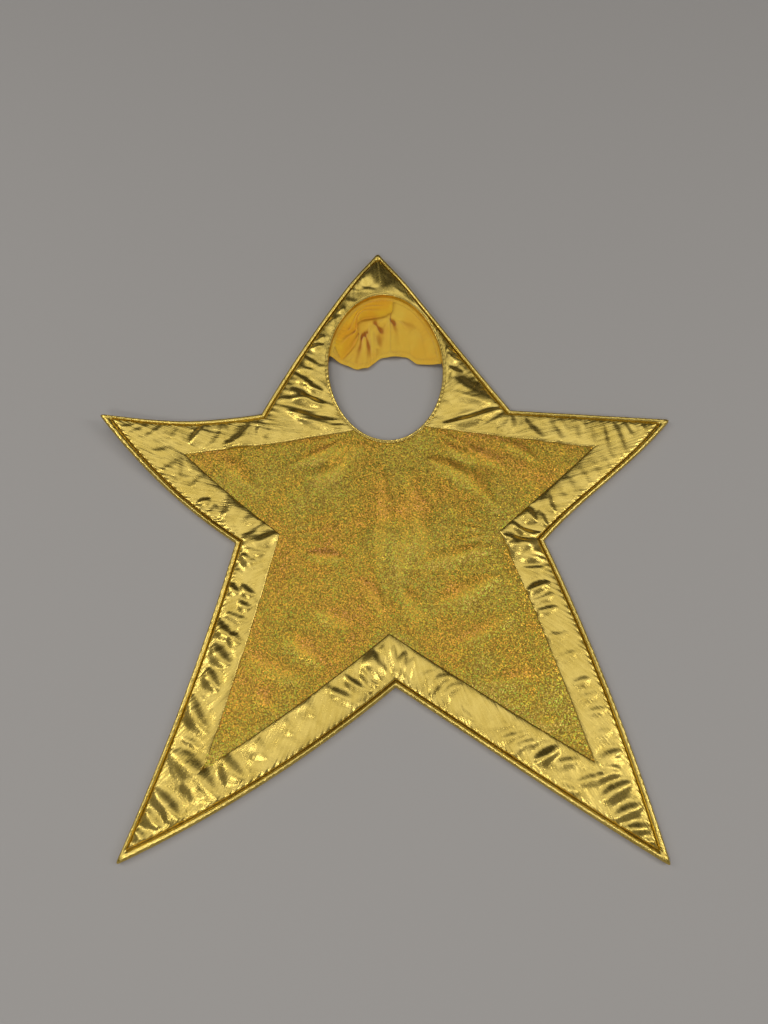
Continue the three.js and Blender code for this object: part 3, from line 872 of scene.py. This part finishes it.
# Hood: two panels of yellow jersey, seamed at the crown, which hang behind the upper half of the opening. The
# left one is pushed up into a thick rolled fold, and both sink from the rim to a free hem near the ground.
HEM = np.array(
    [
        *((-100, 286), (-94, 284), (-66, 267), (-46, 259.5), (-28, 262)),
        *((-8, 281), (36, 283), (52, 268), (94, 266), (100, 266)),
    ]
)
HEM_WIDTH = 11
CROWN_SEAM = 9.0
HOOD_LOW = 4.8  # the jersey's height at its hem
HOOD_FLOOR = 1.6  # the least height that its folds may sink to
SEWN = 4.0  # how far inside the opening the panels start
HALF_OPENING = 89.4  # its half width there


def eased(line, reach):
    """Each value's mean with those up to reach places from it, weighted by a bell, as if the line's ends went on
    level."""
    bell = np.hanning(2 * reach + 3)[1:-1]
    return np.convolve(np.pad(line, reach, mode="edge"), bell / bell.sum(), mode="valid")


hem_x = np.linspace(-100, 100, 401)
hem_y = eased(np.interp(hem_x, HEM[:, 0], HEM[:, 1]), 14)
arc_turns = np.concatenate([np.linspace(3, 4, 200, endpoint=False), np.linspace(0, 1, 201)])
rim = face_line(arc_turns, -SEWN)


def rim_y(x):
    """The y of the sewn edge over x: the upper arc of the opening, inside its outline by SEWN."""
    return np.interp(x, rim[:, 0], rim[:, 1])


# Folds in the jersey: right end, left end, half width, height, bend.
HOOD_FOLDS = [
    (-27, 346, -23, 266, 1.8, 3.8, 1), (-9, 300, -20, 342, 3.6, 2.6, 3), (40, 290, 26, 348, 6, 3, 2),
    (66, 284, 52, 336, 5.5, 2.7, 0), (84, 280, 74, 318, 4, 2, 0), (30, 286, 6, 294, 4, 2, 0),
]
# Pinches that folds fan out of: place, half folds to the radian, height, and which side of x = -25 they reach.
PINCHES = [(-37, 340, 5.2, 2.6, -1), (6, 360, 2.6, 2.8, 1)]
# Pockets between its folds, from one point to another: their radius and depth.
POCKETS = [
    (-43, 318, -29, 333, 4.4, 6), (-18, 349, -5, 329, 3.8, 6.5), (7, 357, 20, 342, 3.6, 6),
    (-66, 272, -46, 300, 2.6, 2.4),
]


def hood_height(x, y):
    """Height of the jersey over the ground: low at the hem, climbing to the crown as the frame's hood does, and
    drawn up to the sewn rim over about 14 mm, with its folds added where it hangs free: single ones, fans of them
    that are cosines of the angle round a pinch, and pockets that are bell curves along and across a line."""
    gap = np.full(np.shape(x), 1e9)
    under = np.zeros(np.shape(x))
    for px, py in rim[::8]:
        far = np.hypot(x - px, y - py)
        under = np.where(far < gap, lift(px, py) + 0.9, under)
        gap = np.minimum(gap, far)
    slope = HOOD_LOW + 9.5 * smooth((y - 285) / 95)
    pull = np.exp(-((gap / 9.0) ** 1.4))
    free = smooth(gap / 16)
    x_bent, y_bent = x + 2.0 * noise(x, y, 26, 71), y + 2.0 * noise(x, y, 26, 72)
    slack = folds(x_bent, y_bent, HOOD_FOLDS, back=4.5) + 0.5 * noise(x, y, 22, 73) + 0.2 * noise(x, y, 9, 74)
    for px, py, count, tall, side in PINCHES:
        radius, angle = np.hypot(x - px, y - py), np.arctan2(x - px, py - y)
        wander = 1.1 * noise(x, y, 30, 77)
        reach = smooth(side * (x + 25) / 7) * smooth(radius / 26) * smooth((py - y) / 20)
        slack = slack + tall * reach * np.cos(np.pi * count * angle + wander) / (1 + (radius / 90) ** 2)
    for x0, y0, x1, y1, radius, deep in POCKETS:
        dx, dy = x1 - x0, y1 - y0
        share = ((x - x0) * dx + (y - y0) * dy) / (dx * dx + dy * dy)
        off = ((x - x0) * dy - (y - y0) * dx) / np.hypot(dx, dy)
        slack = slack - deep * np.exp(-((off / radius) ** 2) - ((share - 0.5) / 0.42) ** 2)
    return np.maximum(slope * (1 - pull) + under * pull + free * slack, HOOD_FLOOR)


def hollows(height, reach, deep):
    """How much light the folds of a grid keep out, from 0 to 1: how far each point lies below the weighted mean of
    the points up to reach rows and columns away, as a share of a depth."""
    mean = np.apply_along_axis(eased, 1, np.apply_along_axis(eased, 0, height, reach), reach)
    return np.clip((mean - height) / deep, 0, 1)


def hood_panel(name, left, right, columns):
    """A panel of the hood between two upright lines: columns at fixed x, bunched towards the sides of the opening,
    and rows from the sewn rim down into the hem, with both edges at the crown seam turned down."""
    bunch = np.linspace(-1, 1, columns)
    ends = np.arcsin(np.clip(np.array([left, right]) / HALF_OPENING, -1, 1))
    x = HALF_OPENING * np.sin(ends[0] + (ends[1] - ends[0]) * (bunch + 1) / 2)
    top, bottom = rim_y(x), np.interp(x, hem_x, hem_y) + HEM_WIDTH - 2.5
    bottom = np.minimum(bottom, top - 0.5)
    share = np.linspace(0, 1, 110)[:, None]
    y = top * (1 - share) + bottom * share
    x = np.broadcast_to(x, y.shape)
    z = hood_height(x, y)
    z = z - 1.3 * np.exp(-(((x - CROWN_SEAM) / 1.1) ** 2)) * smooth((y - 330) / 30)
    grid = np.stack([x, y, z], -1)
    return weave(name, grid, around=False, uv=grid[..., :2], shade=hollows(z, 20, 3.0))


# The inner edge of the rolled fold, from the hem on the left, up beside the opening and over to the crown seam.
ROLL_EDGE = np.array(
    [
        *((-73, 277), (-66, 286), (-57, 296), (-48, 308), (-44, 322)),
        *((-49, 339), (-40, 349), (-20, 352), (0, 356), (13, 365)),
    ],
    float,
)


def rolled_fold(name):
    """The left panel's spare cloth pushed over itself: rulings from the sewn rim to the roll's inner edge, swelling
    off the panel under them as a power of a sine, cut by two creases that sway along it, and turned under along
    that edge by four more rows."""
    along = np.linspace(0, 1, 190)
    bends = len(ROLL_EDGE) - 1
    edge = [eased(np.interp(along * bends, range(bends + 1), ROLL_EDGE[:, k]), 11) for k in (0, 1)]
    edge = np.stack(edge, -1)
    outer = face_line(np.interp(along, [0, 0.45, 1], [3.2, 3.62, 4.12]), -SEWN + 0.6)
    across = np.concatenate([np.linspace(0, 1, 44), [1.03, 1.03, 0.99, 0.9, 0.78]])[:, None, None]
    plan = outer + across * (edge - outer)
    x, y = plan[..., 0], plan[..., 1]
    share = np.clip(across[..., 0], 0, 1)
    under = hood_height(x, y)
    tall = np.interp(along, [0, 0.25, 0.5, 0.62, 0.85, 1], [2.0, 4.0, 6.0, 8.5, 8.0, 5.0])
    swell = np.sin(np.pi * np.clip(share, 0, 0.93) ** 1.25) ** 0.6
    z = under + 0.7 + tall * swell + 0.6 * noise(x, y, 17, 76) * swell
    for middle, sway, wide, deep in ((0.3, 0.08, 0.08, 2.4), (0.58, 0.1, 0.1, 2.8)):
        crease = np.exp(-(((share - middle - sway * np.sin(along * 9 + 20 * middle)) / wide) ** 2))
        z -= deep * crease * smooth((along - 0.12) / 0.25) * smooth((0.97 - along) / 0.2)
    hollow_shade = hollows(z, 9, 2.6)
    z[-4:] = under[-4:] + np.array([0.55, 0.3, 0.1, 0.05])[:, None] * tall * 0.8
    # The four turned-under rows are darkened in steps to full: painted shade under the roll's edge.
    hollow_shade[-4:] = np.array([0.15, 0.5, 0.8, 1])[:, None]
    grid = np.stack([x, y, z], -1)
    return weave(name, grid, around=False, uv=grid[..., :2], shade=hollow_shade)


# Two copies of the jersey: the rolled fold's is a deeper orange than the panels', which is painted warm light
# bounced inside the fold.
JERSEY = {
    "hood_jersey_bounce_lit": ((0.95, 0.46, 0.008, 1), (0.99, 0.60, 0.018, 1)),
    "hood_jersey_plain": ((0.95, 0.54, 0.036, 1), (0.99, 0.64, 0.06, 1)),
}
jerseys = {}
for name, (deep, pale) in JERSEY.items():
    jerseys[name], place = begin(name, "UV")
    ribs = {"Vector": place, "Scale": 420, "Distortion": 0.5}
    knit = place.node("TexWave", {"bands_direction": "X"}, ribs, out="Fac")
    loops = place.noise(1700, detail=2)
    pill = place.noise(140, detail=5, roughness=0.65)
    tone = place.noise(22, detail=3)
    # The attribute turns the jersey deep brown-orange in its hollows: painted shade.
    hollow_shade = place.node("Attribute", {"attribute_name": "shade"}, {}, out="Fac")
    dye = tone.between(0.3, 0.7).blend(deep, pale)
    close(
        place,
        {
            "Base Color": hollow_shade.between(0.0, 1.0).blend(dye, (0.50, 0.17, 0.003, 1)),
            "Roughness": 0.72 + 0.2 * loops,
            "Normal": (knit * 0.25 + loops * 0.3 + pill * 0.8).bump(place, 0.0009),
            "Sheen Weight": 0.3,
            "Sheen Roughness": 0.4,
        },
    )
jersey = jerseys["hood_jersey_plain"]

# The hood's panels and its rolled fold: each gets its jersey and thickness, stands in for its frame part, and has
# its placing baked into its points.
left_panel = hood_panel("hood_panel_left", -86.3, CROWN_SEAM, 150)
right_panel = hood_panel("hood_panel_right", CROWN_SEAM, 88.0, 120)
for panel, node_name, cut in (
    (left_panel, "hood_left_panel", {"flat": (0.098, 0.12), "area": 0.0088}),
    (right_panel, "hood_right_panel", {"flat": (0.082, 0.11), "area": 0.0056}),
    (rolled_fold("hood_rolled_fold"), "hood_left_panel", {"flat": (0.04, 0.17), "area": 0.0055}),
):
    panel.data.materials.append(jerseys["hood_jersey_bounce_lit"] if panel.name == "hood_rolled_fold" else jersey)
    thicken(panel, 0.0009, -1)
    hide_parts(node_name)
    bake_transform(panel)

# Hood hem: the bottom of the jersey turned up on itself by 11 mm and held by two rows of stitches. It is double,
# so it stands a little proud of the panels, with a rounded fold at the bottom.
HALF_HEM = 91.8  # the hem's ends lie under the binding
STITCH_LINE = 0.5 + 0.95  # the hem's upper face, over the panel's height

x = HALF_HEM * np.sin(np.linspace(-np.pi / 2, np.pi / 2, 300))
bottom = np.interp(x, hem_x, hem_y)
turn = np.linspace(0, 2 * np.pi, 40, endpoint=False)
reach = HEM_WIDTH * (0.5 - 0.5 * squared_off(np.cos(turn), 0.6))[:, None]
y = bottom + reach
x = np.broadcast_to(x, y.shape)
puff = 0.95 * squared_off(np.sin(turn), 0.6)[:, None]
wave = 0.35 * noise(x, y, 14, 81) + 0.25 * np.sin(x / 3.1 + 2 * noise(x, y, 20, 82)) * (puff > 0)
hem_grid = np.stack([x, y, hood_height(x, y) + 0.5 + puff + 0.4 * wave], -1)
hem = weave("hood_hem_fold", hem_grid, around=False, across=True, uv=hem_grid[..., :2])
hem.data.materials.append(jersey)
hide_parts("hood_hem")
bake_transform(hem)

hem_thread, place = begin("hood_thread")
ply = place.noise(2600, detail=2)
close(
    place,
    {
        "Base Color": ply.blend((0.58, 0.30, 0.03, 1), (0.80, 0.46, 0.07, 1)),
        "Roughness": 0.55 + 0.2 * ply,
        "Normal": ply.bump(place, 0.0001),
    },
)
for name, up in (("hood_stitches_lower", 7.0), ("hood_stitches_upper", 9.0)):
    x = np.linspace(-84, 86, 300)
    y = np.interp(x, hem_x, hem_y) + up
    path = np.stack([x, y, hood_height(x, y) + STITCH_LINE], -1)
    rows = stitch_row(name, path, hem_thread, {"pitch": 2.6, "length": 1.9, "radius": 0.22})
    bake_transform(rows)

# Hood seam: the raw edge of the jersey, caught behind the binding round the upper half of the opening. Only the
# strip inside the binding shows.
LEFT_END, RIGHT_END = 3.08, 0.92  # in quarters of the opening

# The strip's section: how far outside the opening, and how high, at each step round it.
SEAM_SECTION = [
    *((3.0, 2.3), (0.0, 2.5), (-2.0, 2.3), (-4.0, 1.7), (-6.0, 0.7)),
    *((-5.6, -0.3), (-3.0, 0.6), (0.0, 1.1), (3.0, 1.3)),
]
t = np.concatenate([np.linspace(LEFT_END, 4, 150, endpoint=False), np.linspace(0, RIGHT_END, 150)])
ruffle = 0.2 * noise(np.arange(len(t)) * 0.9, 0 * t, 6, 91)
rings = np.stack([raised(face_line(t, grow), height + ruffle) for grow, height in SEAM_SECTION])
band = weave("hood_seam_strip", rings, around=False, across=True, uv=rings[..., :2])
band.data.materials.append(jersey)
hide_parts("hood_seam_band")
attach(band, "panel")

# Face binding: a bias strip of the foil folded over the opening's raw edges and stitched down its middle, so that
# it shows as two small rolls with a groove between them. It puckers round the tight lower curve.
BIND = {"reach": 6.4, "under": 1.3, "top": 10.9}

t = np.linspace(0, 4, 560, endpoint=False)
outline = face_line(t)
travel = travelled(outline)
low = smooth((220 - outline[:, 1]) / 110)
middle, half = (BIND["under"] + BIND["top"]) / 2, (BIND["top"] - BIND["under"]) / 2
turn = np.linspace(0, 2 * np.pi, 30, endpoint=False)
rings = []
for a in turn:
    share = 0.5 - 0.5 * squared_off(np.cos(a), 0.8)
    strand = np.sin(2 * np.pi * travel / 7.5 + 2.4 * share + 2.4 * noise(travel, 0 * travel, 19, 101))
    gather = (0.2 + 0.35 * low) * strand + 0.25 * noise(travel, 0 * travel + 9 * share, 5, 102)
    out = BIND["reach"] * share + 0.35 * gather * (1 - share) - 0.3
    rise = squared_off(np.sin(a), 0.55)
    groove = 1.5 * np.exp(-(((share - 0.5) / 0.13) ** 2)) * (np.sin(a) > 0)
    ring = raised(face_line(t, out), middle + half * rise - groove + (0.8 * gather if np.sin(a) > 0 else 0))
    rings.append(ring)
binding_map = np.stack(np.broadcast_arrays(travel, 60 + turn[:, None] * 2), -1)
binding = weave("face_binding_roll", np.stack(rings), across=True, uv=binding_map)
binding.data.materials.append(foil)
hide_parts("face_binding")
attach(binding, "panel")

groove_path = raised(face_line(t, BIND["reach"] * 0.5 - 0.3), BIND["top"] - 1.35)
rows = stitch_row("binding_stitches", groove_path[np.r_[0 : len(t), 0]], thread, {**STITCH, "radius": 0.24})
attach(rows, "panel")

# Floor, light and camera: a plain pale floor, and soft lamps beyond the feet and both arms, which draw the
# highlights along the folds. The room is bright overhead but for a dark part towards the head end, which the foil
# mirrors, and the camera looks down from above the feet.
FLOOR = 40.0  # half the floor's width, in metres
floor_mesh = bpy.data.meshes.new("floor")
floor_corners = [(x * FLOOR, y * FLOOR, 0) for x, y in ((-1, -1), (1, -1), (1, 1), (-1, 1))]
floor_mesh.from_pydata(floor_corners, [], [(0, 1, 2, 3)])
floor = placed("floor", floor_mesh)
floor_paint, place = begin("floor_paint")
close(place, {"Base Color": (0.44, 0.42, 0.40, 1), "Roughness": 0.9})
floor_mesh.materials.append(floor_paint)


def soft_light(name, place, target, size, power):
    """A rectangular area light at a place, turned to a target."""
    lamp = bpy.data.lights.new(name, "AREA")
    lamp.shape, lamp.size, lamp.size_y, lamp.energy = "RECTANGLE", *size, power
    shown = placed(name, lamp)
    shown.location = place
    shown.rotation_euler = (target - shown.location).to_track_quat("-Z", "Y").to_euler()


target = floor.location.copy()
soft_light("front_lamp", (-0.5, -1.7, 2.2), target, (0.8, 0.4), 11)
soft_light("left_lamp", (-2.1, 0.4, 1.9), target, (0.3, 1.1), 11)
soft_light("right_lamp", (2.1, -0.2, 1.9), target, (0.3, 1.1), 11)
world = bpy.data.worlds.new("room")
world.use_nodes = True
sky = Shade(world.node_tree.nodes.new("ShaderNodeTexCoord").outputs["Generated"])
overhead = sky.node("VectorMath", {"operation": "DOT_PRODUCT"}, {0: sky, 1: (0, 0.30, 0.954)}, out="Value")

# What the room shows, from behind the floor to overhead.
ROOM = [
    (0.0, (0.22, 0.215, 0.21)),
    (0.28, (0.16, 0.155, 0.15)),
    (0.48, (0.05, 0.047, 0.044)),
    (0.66, (0.14, 0.135, 0.13)),
    (0.78, (0.32, 0.315, 0.31)),
    (0.87, (0.60, 0.59, 0.58)),
    (0.93, (0.76, 0.76, 0.75)),
    (1.0, (0.86, 0.86, 0.86)),
]
glow = sky.node("ValToRGB", {"stops": ROOM}, {"Fac": overhead})
toward_head = sky.node("SeparateXYZ", {}, {"Vector": sky}, out=1)
lit = 1.3 - 1.16 * toward_head.between(0.49, 0.61) * overhead.between(0.4, 0.6)
background = world.node_tree.nodes["Background"]
world.node_tree.links.new(glow.socket, background.inputs["Color"])
world.node_tree.links.new(lit.socket, background.inputs["Strength"])
bpy.context.scene.world = world
bpy.context.scene.view_settings.view_transform = "Standard"

camera_data = bpy.data.cameras.new("camera")
camera_data.lens, camera_data.sensor_width = 27.07, 36
camera = placed("camera", camera_data)
camera.location = (0.015, -0.408, 1.105)
camera.rotation_euler = np.radians((20.76, 0.85, 0.07))
bpy.context.scene.camera = camera

bpy.context.view_layer.update()
